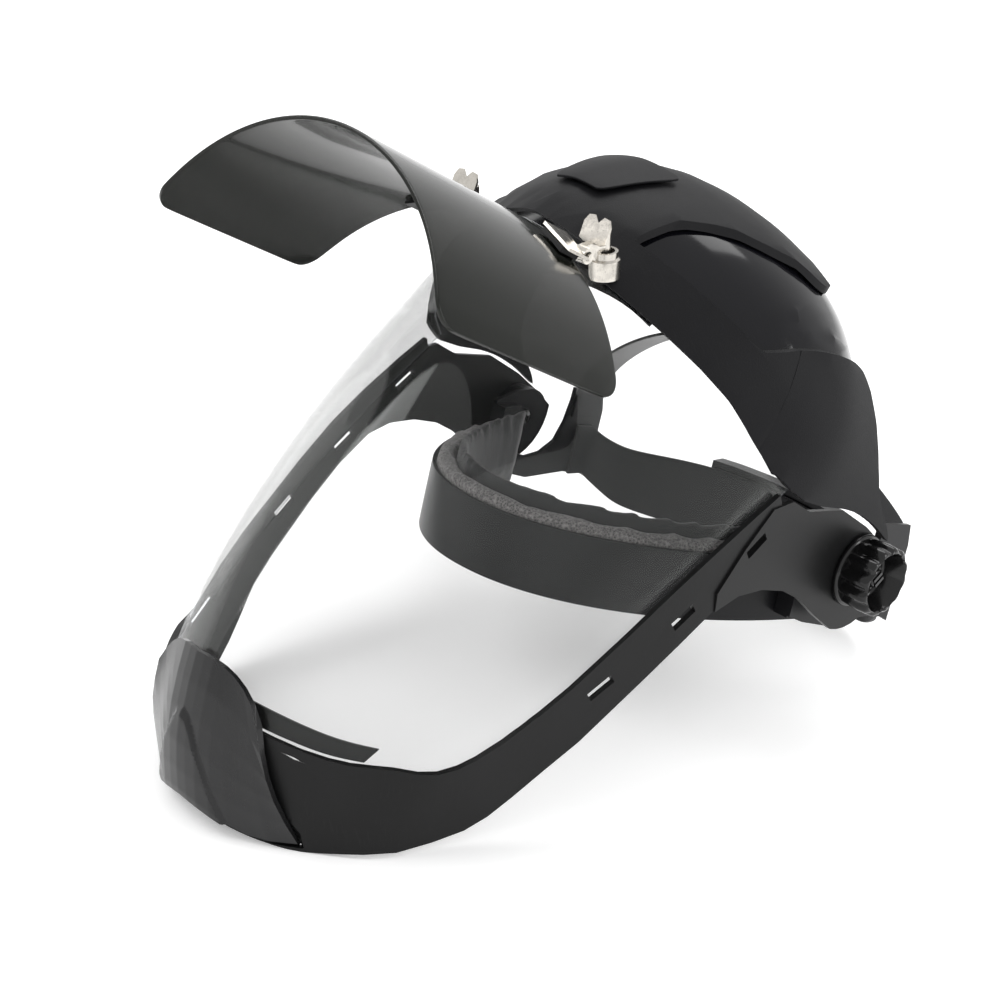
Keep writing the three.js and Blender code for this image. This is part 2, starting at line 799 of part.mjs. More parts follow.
function tintedLens() {
  const half = [0.1, 0.2, 0.3, 0.4, 0.5, 0.6, 0.7, 0.8, 0.91, 0.935, 0.96, 0.98, 0.995, 1];
  const sides = [...half.map((side) => -side).reverse(), 0, ...half];
  const grid = steps(0, 1, 5).map((share) => sides.map((side) => {
    const draw = cornerDraw(side);
    return lensPoint(THREE.MathUtils.lerp(draw, lensLength - draw, share), side);
  }));
  return wallOf(grid, lensWall, { centre: lensCentre });
}

// Where the clip meets the lens: on its rear edge, level with the collar
const lensRadius = (lensHalfWidth ** 2 + lensRise ** 2) / (2 * lensRise);
const clipSag = lensRadius - Math.sqrt(lensRadius ** 2 - clipOffset ** 2);
const clipSlope = Math.asin(clipOffset / lensRadius);
const clipFoot = lensRoot.clone().addScaledVector(lensUp, -clipSag).setX(clipOffset);
const pinAxis = clipFoot.clone().addScaledVector(lensForward, -pinBehindLens)
  .addScaledVector(lensUp, pinAboveLens);

// Box laid on the lens at the clip: its width across, its span fore and aft, and its span above the lens
function onLens(width, aft, fore, low, high) {
  const box = new THREE.BoxGeometry(width, high - low, fore - aft);
  box.translate(0, (low + high) / 2, (aft + fore) / 2);
  box.rotateZ(-clipSlope);
  box.applyMatrix4(new THREE.Matrix4().makeBasis(new THREE.Vector3(-1, 0, 0), lensUp, lensForward));
  box.scale(-1, 1, 1);
  box.translate(...clipFoot);
  return facedOut(box);
}

function lensClip() {
  const reach = pinLength / 2 - knuckleWall;
  const knuckle = disc(pinRadius + runningGap + knuckleWall, -reach, reach, 14);
  const bore = disc(pinRadius + runningGap, -pinLength, pinLength, 14);
  for (const part of [knuckle, bore]) part.translate(...pinAxis);
  const low = jawWall + 2 * seatGap;
  const plate = onLens(clipPlateWidth, -pinBehindLens, clipPlateReach, low, low + clipPlateWall);
  const armRoom = new THREE.BoxGeometry(armWidth + 2 * runningGap, armRoomLength, armRoomHeight);
  armRoom.translate(clipOffset, pinAxis.y + 0.45 * armRoomLength, pinAxis.z);
  return cut(joined(knuckle, plate), bore, armRoom);
}

function clipJaw() {
  const high = jawWall + seatGap;
  const block = onLens(jawWidth, -high, jawReach, -lensWall - high, high);
  const grid = steps(-seatGap, 3 * jawReach, 3).map((forward) => (
    steps(-1, 1, 22).map((side) => lensPoint(forward, side))
  ));
  const slot = wallOf(grid, lensWall + 3 * seatGap, { centre: lensCentre, lift: 1.5 * seatGap });
  return cut(block, slot);
}

// Grey two-lobed tab that stands on the clip's arm
function wingTab() {
  const lobes = [
    { y: -0.5, z: 0.1 }, { y: -0.5, z: 0.7 }, { y: -0.38, z: 0.96 }, { y: -0.2, z: 1.0 },
    { y: 0.0, z: 0.72 }, { y: 0.2, z: 1.0 }, { y: 0.38, z: 0.96 }, { y: 0.5, z: 0.7 },
    { y: 0.5, z: 0.1 }, { y: 0.3, z: 0 }, { y: -0.3, z: 0 },
  ].map((p) => ({ y: wingSpan * p.y, z: wingHeight * p.z }));
  const tab = sidePlate(lobes, -wingWall / 2, wingWall / 2);
  tab.rotateZ(Math.PI / 2);
  tab.rotateX(degrees(wingLean));
  return tab;
}

// Hinge collar on the brow, with its barrel and the webbed arm and pin that the lens clip turns on
function hingeCollar() {
  const upward = new THREE.Vector3(0, -Math.SQRT1_2, Math.SQRT1_2);
  const collar = new THREE.LatheGeometry([
    [0, -collarRoot], [collarRadius, -collarRoot], [collarRadius, 0.6 * collarHeight],
    [collarNeckRadius, 0.7 * collarHeight], [collarNeckRadius, collarHeight],
    [collarBore, collarHeight], [collarBore, collarHeight - collarWell],
    [barrelRadius, collarHeight - collarWell], [barrelRadius, barrelHeight], [0, barrelHeight],
  ].map(([r, out]) => new THREE.Vector2(r, out)), 18);
  collar.rotateX(degrees(135));
  const foot = crownSpot(collarSweep, clipOffset);
  collar.translate(...foot);
  const top = foot.clone().addScaledVector(upward, barrelHeight - barrelRadius);
  const run = pinAxis.clone().sub(top);
  const out = new THREE.Vector3(0, run.z, -run.y).setLength(armWall / 2);
  const heel = foot.clone().addScaledVector(upward, armHeel * collarHeight);
  const bend = [top.clone().add(out), pinAxis.clone().add(out), pinAxis.clone().sub(out), heel, top];
  const arm = sidePlate(bend, clipOffset - armWidth / 2, clipOffset + armWidth / 2);
  const pin = disc(pinRadius, -pinLength / 2, pinLength / 2, 14);
  pin.translate(...pinAxis);
  const wings = wingTab();
  wings.translate(...top.clone().addScaledVector(run, wingAhead / run.length()));
  return cut(joined(facedOut(welded(collar)), arm, pin, wings), coverSeat());
}

function coverSeat() {
  const grid = steps(-8, 36, 8).map((sweep) => steps(0, 50, 14).map((turn) => crownPoint(sweep, turn)));
  return wallOf(grid, coverWall + seatDepth, { lift: seatGap });
}

// Tension knobs

function knob() {
  const outline = steps(0, 2 * Math.PI, 4 * knobScallops).slice(1).map((angle) => {
    const radius = knobRadius - scallopDepth * (1 + Math.cos(knobScallops * angle)) / 2;
    return { y: radius * Math.cos(angle), z: radius * Math.sin(angle) };
  });
  const base = plateFace + runningGap;
  const face = base + knobDepth;
  const floor = face - knobRecessDepth;
  const body = sidePlate(outline, base, face);
  const recess = disc(knobRecessRadius, floor, face + rootLap, 24);
  const boss = disc(knobBossRadius, floor - rootLap, floor + knobBossHeight, 14);
  const stud = disc(studRadius, yokeFace - yokeWall, base + rootLap, 14);
  return joined(cut(body, recess), boss, stud);
}

// Headgear

function bandPoint(turn, z) {
  const curve = arch(turn, bandRoundness);
  return new THREE.Vector3(bandHalfWidth * curve.x, bandWidest - (bandFront + bandWidest) * curve.y, z);
}

// The headband's layers share one grid, each one keeping its own columns of it
const bandTurns = steps(-80, 80, 32);
const bandTop = bandBottom + bandHeight;

function headWall(spare, low, high, wall, lift) {
  const grid = [low, high].map((z) => bandTurns.map((turn) => bandPoint(turn, z)));
  return wallOf(grid, wall, { lift, within: { columns: [spare, bandTurns.length - 1 - spare] } });
}

function foreheadBand() {
  return headWall(1, bandBottom, bandTop, bandWall, 0);
}

function browFoam() {
  return headWall(2, bandBottom + foamRise, bandTop + foamLap, foamWall, -bandWall - seatGap);
}

function sweatPad() {
  const lift = -bandWall - foamWall - 2 * seatGap;
  return headWall(2, bandBottom + padRise, bandTop + padLap, padWall, lift);
}

// Room for the headband and its padding, to cut the yokes' necks
function bandSeat() {
  return headWall(0, bandBottom - seatDepth, bandTop + 2 * seatDepth, 5 * seatDepth, seatGap);
}

function sideYoke() {
  const inner = yokeFace - yokeWall;
  const crescent = throughPlate([
    ...scaled(crescentOuter, hubRadius), ...arcOutline(hubRadius, -96, 79, 12),
  ]);
  const plate = cut(sidePlate(scaled(yokeOutline, hubRadius), inner, yokeFace), crescent);
  const hub = sidePlate(arcOutline(hubRadius, 0, 345, 23), inner, hubFace);
  const neck = sidePlate(scaled(neckOutline, hubRadius), inner - neckReach, inner + rootLap);
  return cut(joined(plate, hub, cut(neck, bandSeat())), studBore());
}

// Nape band, from inside one yoke round the back to the other; it climbs towards the back

const napeHalfWidth = yokeFace - yokeWall - seatGap;
const napeTurns = steps(-90, 90, 24);

function napePoint(turn, z) {
  const round = napeWidest + (napeRear - napeWidest) * Math.cos(degrees(turn));
  return new THREE.Vector3(napeHalfWidth * Math.sin(degrees(turn)), round, z);
}

function napeGrid(lap) {
  return ["low", "top"].map((column, row) => {
    const edge = napeTurns.map((turn) => {
      const z = bandHeight * along(napeStations, "turn", Math.abs(turn), column);
      return napePoint(turn, z + (row ? lap : -lap));
    });
    const end = (p) => p.clone().setY(napeForward);
    return [end(edge[0]), ...edge, end(edge[edge.length - 1])];
  });
}

function napeBand() {
  return wallOf(napeGrid(0), napeWall);
}

function ratchetHousing() {
  const box = wallOf(napeGrid(ratchetLap), ratchetDepth, {
    lift: seatGap + ratchetDepth, within: { columns: [10, 16] },
  });
  const bore = new THREE.CylinderGeometry(studRadius + runningGap, studRadius + runningGap, seatDepth, 16);
  bore.translate(0, napeRear + ratchetDepth, ratchetRise);
  return cut(box, bore);
}

function ratchetKnob() {
  const base = napeRear + seatGap + ratchetDepth + runningGap;
  const turning = new THREE.LatheGeometry([
    [0, base - ratchetStud], [studRadius, base - ratchetStud], [studRadius, base],
    [ratchetKnobRadius, base], [ratchetKnobRadius, base + 0.8 * ratchetKnobDepth],
    [0.9 * ratchetKnobRadius, base + ratchetKnobDepth], [0, base + ratchetKnobDepth],
  ].map(([r, out]) => new THREE.Vector2(r, out)), 24);
  turning.translate(0, 0, ratchetRise);
  return facedOut(welded(turning));
}

function crownStrap() {
  const half = napeHalfWidth;
  const over = steps(-90, 90, 26).map((turn) => {
    const curve = arch(turn, strapPower);
    return { x: half * curve.x, rise: (strapRise - strapFoot) * curve.y };
  });
  const line = [{ x: -half, rise: -strapTail }, ...over, { x: half, rise: -strapTail }];
  const grid = [strapFront, strapRear].map((y) => line.map((p) => (
    new THREE.Vector3(p.x, y - strapLean * Math.max(p.rise, 0), strapFoot + p.rise)
  )));
  return wallOf(grid, strapWall, { centre: new THREE.Vector3(0, strapFront, 0) });
}

// Assembly

function mesh(name, geometry, look) {
  const smooth = geometry.clone();
  smooth.computeVertexNormals();
  const item = new THREE.Mesh(smooth, new THREE.MeshStandardMaterial(look));
  item.name = name;
  return item;
}

function pair(name, geometry, look) {
  return [mesh(`${name}_left`, geometry, look), mesh(`${name}_right`, mirrored(geometry), look)];
}

const mattBlack = { color: 0x242427, roughness: 0.7, metalness: 0 };
const glossBlack = { color: 0x17171b, roughness: 0.25, metalness: 0 };
const clear = { color: 0xeef2f4, roughness: 0.05, metalness: 0, transparent: true, opacity: 0.25 };
const tinted = { color: 0x1d261e, roughness: 0.08, metalness: 0, transparent: true, opacity: 0.8 };
const steel = { color: 0xb9b6ad, roughness: 0.3, metalness: 1 };
const foam = { color: 0x3c3c3f, roughness: 0.95, metalness: 0 };
const cloth = { color: 0x1b1b1e, roughness: 0.75, metalness: 0 };

const shield = new THREE.Group();
shield.rotation.x = degrees(-shieldLean);
shield.add(
  mesh("crown_cover", crownCover(), mattBlack),
  mesh("crown_dome", crownDome(), glossBlack),
  mesh("badge_plate", badgePlate(), mattBlack),
  mesh("clear_window", clearWindow(), clear),
  mesh("shield_frame", shieldFrame(), mattBlack),
  mesh("window_retainer", windowRetainer(), mattBlack),
  mesh("chin_flap", chinFlap(), mattBlack),
  mesh("tinted_lens", tintedLens(), tinted),
  ...pair("hinge_collar", hingeCollar(), steel),
  ...pair("lens_clip", lensClip(), steel),
  ...pair("clip_jaw", clipJaw(), mattBlack),
);

const headgear = new THREE.Group();
headgear.rotation.x = degrees(-headgearLean);
headgear.add(
  mesh("forehead_band", foreheadBand(), mattBlack),
  mesh("brow_foam", browFoam(), foam),
  mesh("sweat_pad", sweatPad(), cloth),
  mesh("nape_band", napeBand(), mattBlack),
  mesh("ratchet_housing", ratchetHousing(), mattBlack),
  mesh("ratchet_knob", ratchetKnob(), glossBlack),
  mesh("crown_strap", crownStrap(), mattBlack),
  ...pair("side_yoke", sideYoke(), mattBlack),
  ...pair("knob", knob(), glossBlack),
);

const faceShield = new THREE.Group();
faceShield.add(shield, headgear);

// Lowest point of the assembly among those whose distance back counts
function lowest(assembly, counts) {
  assembly.updateMatrixWorld(true);
  const low = new THREE.Vector3(0, 0, Infinity);
  const point = new THREE.Vector3();
  assembly.traverse((item) => {
    if (!item.isMesh) return;
    const place = item.geometry.attributes.position;
    for (let i = 0; i < place.count; i += 1) {
      point.fromBufferAttribute(place, i).applyMatrix4(item.matrixWorld);
      if (counts(point.y) && point.z < low.z) low.copy(point);
    }
  });
  return low;
}

// Tips the assembly until its chin and the back of its headgear stand on one level
function settle(assembly) {
  for (let n = 0; n < 6; n += 1) {
    const chin = lowest(assembly, (y) => y < -0.5 * windowReach);
    const nape = lowest(assembly, (y) => y > 0);
    assembly.rotation.x -= Math.atan2(nape.z - chin.z, nape.y - chin.y);
  }
  assembly.updateMatrixWorld(true);
  const box = new THREE.Box3().setFromObject(assembly, true);
  const centre = box.getCenter(new THREE.Vector3());
  assembly.position.set(-centre.x, -centre.y, -box.min.z);
}

settle(faceShield);
export default faceShield;
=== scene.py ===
import json
import math

import bmesh
import bpy
from mathutils import Matrix, Vector

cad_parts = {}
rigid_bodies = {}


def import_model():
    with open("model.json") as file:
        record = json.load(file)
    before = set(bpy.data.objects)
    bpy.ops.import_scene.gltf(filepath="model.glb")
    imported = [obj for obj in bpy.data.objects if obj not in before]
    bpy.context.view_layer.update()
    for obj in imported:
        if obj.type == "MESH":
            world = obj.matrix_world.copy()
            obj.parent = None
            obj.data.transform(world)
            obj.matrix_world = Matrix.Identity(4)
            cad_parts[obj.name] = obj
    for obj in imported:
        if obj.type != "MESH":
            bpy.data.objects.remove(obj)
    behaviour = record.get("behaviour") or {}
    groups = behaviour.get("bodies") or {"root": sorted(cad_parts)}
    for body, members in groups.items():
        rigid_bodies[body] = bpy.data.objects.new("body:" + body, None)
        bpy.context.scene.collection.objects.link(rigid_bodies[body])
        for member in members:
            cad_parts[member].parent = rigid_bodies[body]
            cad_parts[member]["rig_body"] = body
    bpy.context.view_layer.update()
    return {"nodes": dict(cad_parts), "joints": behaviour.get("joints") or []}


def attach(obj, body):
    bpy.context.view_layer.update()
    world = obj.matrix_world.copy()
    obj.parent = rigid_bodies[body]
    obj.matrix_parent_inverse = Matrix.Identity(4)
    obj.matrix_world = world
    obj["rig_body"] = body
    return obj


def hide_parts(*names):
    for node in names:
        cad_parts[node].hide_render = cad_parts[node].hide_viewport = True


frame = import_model()

# Camera, from the photograph: place in metres, and its right, up and backward directions
CAMERA_PLACE = Vector((0.54929, -0.57357, 0.47072))
CAMERA_RIGHT = Vector((0.685818, 0.725581, 0.056442))
CAMERA_UP = Vector((-0.349494, 0.260328, 0.900047))
CAMERA_LENS = 66.6
SENSOR = 36.0

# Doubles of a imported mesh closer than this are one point
WELD = 0.00001
# Edges turned further than this are arrises, in degrees
ARRIS_TURN = 32
# Two triangles flatter and squarer together than this become one face, in degrees
JOIN_FLAT = 24
JOIN_SQUARE = 50
# Faces narrower than this round the window are its cut edges, which carry a painted highlight
WINDOW_EDGE = 0.0015
# How often the faces of curved walls are halved
SHEET_LEVELS = 2
SHELL_LEVELS = 1
PADDING_LEVELS = 1

# Share of the handling marks that shows on moulded plastic
PLASTIC_MARKS = 0.5

# Tension knobs; the waist narrows the grooves between the lobes' crests, the arris turn is in
# degrees, and the turn that the knobs stand at in radians
KNOB_RADIUS = 0.018
KNOB_DEPTH = 0.018
KNOB_RECESS = 0.014
KNOB_LOBE = 0.002
KNOB_LOBES = 12
LOBE_WAIST = 1.5
KNOB_STUD = 0.004
KNOB_STUD_ARRIS = 0.0004
KNOB_SIDES = 144
KNOB_ARRIS_TURN = 50
KNOB_TURN = 0.5

# Knob's flange and grip: radius, distance past the base, share of the lobes' depth
KNOB_BASE_RINGS = [
    (KNOB_RADIUS - 0.0002, 0.0, 0), (KNOB_RADIUS, 0.0006, 0), (KNOB_RADIUS, 0.002, 0),
    (KNOB_RADIUS - 0.0006, 0.0026, 0), (KNOB_RADIUS - 0.0012, 0.0028, 1),
]
# Then its rim, its recess and the screw head: radius, distance short of the face, share as above
KNOB_FACE_RINGS = [
    (KNOB_RADIUS - 0.0004, 0.006, 1), (KNOB_RADIUS - 0.0008, 0.0016, 1),
    (KNOB_RADIUS - 0.0018, 0.0004, 0.6), (KNOB_RADIUS - 0.003, 0.0, 0.2),
    (KNOB_RECESS + 0.0008, 0.0001, 0), (KNOB_RECESS, 0.001, 0), (KNOB_RECESS - 0.0006, 0.011, 0),
    (KNOB_RECESS - 0.0016, 0.012, 0), (0.0074, 0.012, 0), (0.007, 0.0085, 0.15),
    (0.0064, 0.0079, 0.15), (0.0052, 0.008, 0), (0.005, 0.009, 0), (0.0046, 0.0091, 0),
    (0.0044, 0.0062, 0), (0.0038, 0.0055, 0),
]
# Bars either side of the screw's slot: size, distance short of the face, and middle off the axis
SCREW_BAR = (0.0012, 0.0062, 0.0016)
SCREW_BAR_SINK = 0.0052
SCREW_BAR_OFFSET = 0.0016

# Chin flap's arched panel: height of its top over the floor, by distance from the middle
FLAP_ARCH = [
    (0.0, 0.053), (0.004, 0.051), (0.007, 0.046), (0.011, 0.037), (0.016, 0.025), (0.02, 0.014),
    (0.024, 0.005), (0.028, -0.005), (0.08, -0.13),
]
# How far the panel stands proud, and the width over which it rises to that
FLAP_STAND = 0.0016
FLAP_CREASE = 0.0035
# How often the flap's faces are halved, to carry the panel's edge
FLAP_LEVELS = 3
# The flap's front is where the Y of its normal isn't above this
FLAP_FRONT = -0.2

# Dome's front edge: how far in and round it is drawn, and the sweep of the points that belong to it
DOME_TUCK_IN = 0.0012
DOME_TUCK_TURN = 0.05
DOME_EDGE_SWEEP = 0.008

# Arrises of the dome and the flap
SHELL_ARRIS = 0.0004

# Cloth simulation of the padding
CLOTH_FRAMES = 20
CLOTH_QUALITY = 6

FLOOR_HALF = 6
AIR_STRENGTH = 0.95

# Studio lights: name, place, the point it faces, width, height and power
SOFT_LIGHTS = [
    ("key", (-0.9, -0.9, 1.3), (0, 0, 0.1), 0.9, 0.9, 10),
    ("top", (-0.3, 0.9, 1.4), (0, 0, 0.1), 1.2, 0.5, 8),
    ("side", (1.4, 0.9, 0.7), (0, 0, 0.12), 0.35, 0.9, 6),
]

joints = {joint["name"]: joint for joint in frame["joints"]}
PIVOT = Vector(joints["shield_tilt"]["pos_m"])


# Effects shared by several finishes

def effect(name, inputs, outputs):
    """Empty node group with the given sockets, and its inner input and output nodes."""
    group = bpy.data.node_groups.new(name, "ShaderNodeTree")
    for label, kind, value in inputs:
        socket = group.interface.new_socket(label, in_out="INPUT", socket_type=kind)
        socket.default_value = value
    for label, kind in outputs:
        group.interface.new_socket(label, in_out="OUTPUT", socket_type=kind)
    return group, group.nodes.new("NodeGroupInput"), group.nodes.new("NodeGroupOutput")


def moulded_grain():
    """Fine pebbled grain of a textured mould, as a height from 0 to 1."""
    group, given, made = effect(
        "moulded_grain",
        [("Scale", "NodeSocketFloat", 1500.0), ("Unevenness", "NodeSocketFloat", 0.35)],
        [("Height", "NodeSocketFloat")],
    )
    place = group.nodes.new("ShaderNodeTexCoord")
    pebbles = group.nodes.new("ShaderNodeTexVoronoi")
    waves = group.nodes.new("ShaderNodeTexNoise")
    blend = group.nodes.new("ShaderNodeMix")
    group.links.new(place.outputs["Object"], pebbles.inputs["Vector"])
    group.links.new(place.outputs["Object"], waves.inputs["Vector"])
    group.links.new(given.outputs["Scale"], pebbles.inputs["Scale"])
    group.links.new(given.outputs["Scale"], waves.inputs["Scale"])
    group.links.new(given.outputs["Unevenness"], blend.inputs["Factor"])
    group.links.new(pebbles.outputs["Distance"], blend.inputs["A"])
    group.links.new(waves.outputs["Fac"], blend.inputs["B"])
    group.links.new(blend.outputs["Result"], made.inputs["Height"])
    return group


def handling_marks():
    """Faint cloudy wear and fine scratches: a mask from 0, untouched, to 1, rubbed."""
    group, given, made = effect(
        "handling_marks",
        [("Cloud Scale", "NodeSocketFloat", 22.0), ("Scratch Scale", "NodeSocketFloat", 160.0),
         ("Amount", "NodeSocketFloat", 0.5)],
        [("Mask", "NodeSocketFloat")],
    )
    place = group.nodes.new("ShaderNodeTexCoord")
    cloud = group.nodes.new("ShaderNodeTexNoise")
    cloud.inputs["Detail"].default_value = 5
    stretch = group.nodes.new("ShaderNodeMapping")
    stretch.inputs["Rotation"].default_value = (0.4, 0.7, 0.2)
    stretch.inputs["Scale"].default_value = (1, 9, 1)
    scratch = group.nodes.new("ShaderNodeTexNoise")
    scratch.inputs["Detail"].default_value = 8
    worn = group.nodes.new("ShaderNodeMapRange")
    worn.inputs["From Min"].default_value = 0.4
    worn.inputs["From Max"].default_value = 0.75
    fine = group.nodes.new("ShaderNodeMapRange")
    fine.inputs["From Min"].default_value = 0.56
    fine.inputs["From Max"].default_value = 0.7
    both = group.nodes.new("ShaderNodeMath")
    both.operation = "MAXIMUM"
    scaled = group.nodes.new("ShaderNodeMath")
    scaled.operation = "MULTIPLY"
    group.links.new(place.outputs["Object"], cloud.inputs["Vector"])
    group.links.new(place.outputs["Object"], stretch.inputs["Vector"])
    group.links.new(stretch.outputs["Vector"], scratch.inputs["Vector"])
    group.links.new(given.outputs["Cloud Scale"], cloud.inputs["Scale"])
    group.links.new(given.outputs["Scratch Scale"], scratch.inputs["Scale"])
    group.links.new(cloud.outputs["Fac"], worn.inputs["Value"])
    group.links.new(scratch.outputs["Fac"], fine.inputs["Value"])
    group.links.new(worn.outputs["Result"], both.inputs[0])
    group.links.new(fine.outputs["Result"], both.inputs[1])
    group.links.new(both.outputs["Value"], scaled.inputs[0])
    group.links.new(given.outputs["Amount"], scaled.inputs[1])
    group.links.new(scaled.outputs["Value"], made.inputs["Mask"])
    return group


GRAIN = moulded_grain()
MARKS = handling_marks()


class Finish:
    """Material with one Principled shader, and short calls for the nodes that feed it."""

    def __init__(self, name):
        self.material = bpy.data.materials.new(name)
        self.material.use_nodes = True
        self.nodes = self.material.node_tree.nodes
        self.links = self.material.node_tree.links
        self.shader = self.nodes["Principled BSDF"]

    def set(self, **values):
        """Sets values of the shader."""
        for label, value in values.items():
            self.shader.inputs[label.replace("_", " ")].default_value = value

    def place(self, effect_group, **values):
        """Adds one of the shared effects."""
        node = self.nodes.new("ShaderNodeGroup")
        node.node_tree = effect_group
        for label, value in values.items():
            node.inputs[label.replace("_", " ")].default_value = value
        return node

    def texture(self, kind, **values):
        """Adds a texture laid out in the object's own metres."""
        node = self.nodes.new(kind)
        spot = self.nodes.new("ShaderNodeTexCoord")
        self.links.new(spot.outputs["Object"], node.inputs["Vector"])
        for label, value in values.items():
            node.inputs[label].default_value = value
        return node

    def bump(self, height, strength, depth):
        """Roughens the surface by a height from 0 to 1."""
        node = self.nodes.new("ShaderNodeBump")
        node.inputs["Strength"].default_value = strength
        node.inputs["Distance"].default_value = depth
        self.links.new(height, node.inputs["Height"])
        self.links.new(node.outputs["Normal"], self.shader.inputs["Normal"])

    def between(self, mask, low, high, label):
        """Drives a colour or value of the shader between two ends by a mask."""
        node = self.nodes.new("ShaderNodeMix")
        if isinstance(low, tuple):
            node.data_type = "RGBA"
            ends = [s for s in node.inputs if s.type == "RGBA"]
            out = [s for s in node.outputs if s.type == "RGBA"][0]
            low, high = (*low, 1), (*high, 1)
        else:
            ends = [s for s in node.inputs if s.type == "VALUE" and s.name in "AB"]
            out = [s for s in node.outputs if s.type == "VALUE"][0]
        ends[0].default_value, ends[1].default_value = low, high
        self.links.new(mask, node.inputs["Factor"])
        self.links.new(out, self.shader.inputs[label])


def moulded_plastic(name, base, rubbed, smooth, rough, grain, depth, shine, coat=0.0):
    """Black moulded plastic: grain, handling marks that lift its colour, and its gloss range."""
    made = Finish(name)
    made.set(Coat_Weight=coat, Coat_Roughness=0.06, Specular_IOR_Level=shine)
    wear = made.place(MARKS, Amount=PLASTIC_MARKS).outputs["Mask"]
    made.between(wear, base, rubbed, "Base Color")
    made.between(wear, smooth, rough, "Roughness")
    made.bump(made.place(GRAIN, Scale=grain).outputs["Height"], strength=0.5, depth=depth)
    return made.material


def clear_sheet(name, tint, haze, most):
    """Clear sheet: a faint grey veil face on, and a stronger, more mirror-like one at a glance."""
    made = Finish(name)
    made.set(Base_Color=(*tint, 1), Metallic=0.75)
    glance = made.nodes.new("ShaderNodeFresnel")
    glance.inputs["IOR"].default_value = 1.5
    veil = made.nodes.new("ShaderNodeMapRange")
    veil.inputs["From Min"].default_value = 0.04
    veil.inputs["From Max"].default_value = 0.6
    veil.inputs["To Min"].default_value = haze
    veil.inputs["To Max"].default_value = most
    made.links.new(glance.outputs["Fac"], veil.inputs["Value"])
    made.links.new(veil.outputs["Result"], made.shader.inputs["Alpha"])
    smears = made.place(MARKS, Amount=1.0).outputs["Mask"]
    made.between(smears, 0.02, 0.06, "Roughness")
    return made.material


def tinted_sheet(name):
    """Deep green-black filter sheet that lets a little light through."""
    made = Finish(name)
    made.set(Alpha=0.93, Coat_Weight=0.2, Coat_Roughness=0.03, Specular_IOR_Level=0.2)
    smears = made.place(MARKS, Amount=1.0, Cloud_Scale=9.0).outputs["Mask"]
    made.between(smears, (0.003, 0.004, 0.002), (0.006, 0.007, 0.005), "Base Color")
    made.between(smears, 0.1, 0.18, "Roughness")
    return made.material


def metal(name, colour, smooth, rough, brush):
    """Plated steel with fine brushing."""
    made = Finish(name)
    made.set(Metallic=1.0)
    wear = made.place(MARKS, Amount=1.0, Cloud_Scale=300.0, Scratch_Scale=brush).outputs["Mask"]
    made.between(wear, colour, tuple(0.7 * share for share in colour), "Base Color")
    made.between(wear, smooth, rough, "Roughness")
    made.bump(wear, strength=0.2, depth=0.00003)
    return made.material


def open_foam(name):
    """Open-celled grey foam: dark cells in a paler web."""
    made = Finish(name)
    cells = made.texture("ShaderNodeTexVoronoi", Scale=900.0)
    made.between(cells.outputs["Distance"], (0.02, 0.02, 0.021), (0.3, 0.285, 0.28), "Base Color")
    made.set(Roughness=0.95, Sheen_Weight=0.3)
    made.bump(cells.outputs["Distance"], strength=0.8, depth=0.0004)
    return made.material


def knit_cloth(name, base, lit):
    """Fine knitted cover cloth with a soft sheen."""
    made = Finish(name)
    knit = made.texture("ShaderNodeTexWave", Scale=900.0, Distortion=3.0)
    made.between(knit.outputs["Fac"], base, lit, "Base Color")
    made.set(Roughness=0.85, Sheen_Weight=0.35)
    made.bump(knit.outputs["Fac"], strength=0.35, depth=0.00015)
    return made.material


COVER_BLACK = moulded_plastic(
    "cover_matt_black", base=(0.0055, 0.0055, 0.0065), rubbed=(0.01, 0.01, 0.0115),
    smooth=0.5, rough=0.62, grain=1700.0, depth=0.00012, shine=0.15,
)
FRAME_BLACK = moulded_plastic(
    "frame_satin_black", base=(0.007, 0.007, 0.0072), rubbed=(0.012, 0.012, 0.0125),
    smooth=0.36, rough=0.48, grain=2300.0, depth=0.00005, shine=0.18,
)
FLAP_BLACK = moulded_plastic(
    "flap_satin_black", base=(0.01, 0.01, 0.0105), rubbed=(0.017, 0.017, 0.018),
    smooth=0.2, rough=0.3, grain=2300.0, depth=0.00004, shine=0.35,
)
DOME_BLACK = moulded_plastic(
    "dome_gloss_black", base=(0.0035, 0.0035, 0.005), rubbed=(0.005, 0.005, 0.0065),
    smooth=0.1, rough=0.18, grain=2600.0, depth=0.00001, shine=0.2, coat=0.1,
)
KNOB_BLACK = moulded_plastic(
    "knob_gloss_black", base=(0.004, 0.004, 0.0042), rubbed=(0.008, 0.008, 0.0085),
    smooth=0.16, rough=0.26, grain=2600.0, depth=0.00002, shine=0.3, coat=0.15,
)
BAND_BLACK = moulded_plastic(
    "band_satin_black", base=(0.004, 0.004, 0.005), rubbed=(0.009, 0.009, 0.01),
    smooth=0.34, rough=0.5, grain=2000.0, depth=0.00006, shine=0.2,
)
CLEAR = clear_sheet("window_clear", tint=(0.2, 0.205, 0.2), haze=0.09, most=0.3)
# Window's cut edges: a pale whitish, more opaque veil whose colour paints a highlight along the
# rim, on top of the sheet's real reflection
RIM_PAINTED_HIGHLIGHT = clear_sheet("window_cut_edge_painted_highlight", tint=(0.85, 0.87, 0.9), haze=0.35, most=0.7)
TINT = tinted_sheet("lens_tint")
STEEL = metal("clip_bright_steel", colour=(0.6, 0.57, 0.52), smooth=0.16, rough=0.3, brush=500.0)
FOAM = open_foam("brow_foam_cells")
CLOTH = knit_cloth("pad_knit", base=(0.006, 0.006, 0.007), lit=(0.018, 0.018, 0.02))


# Pieces

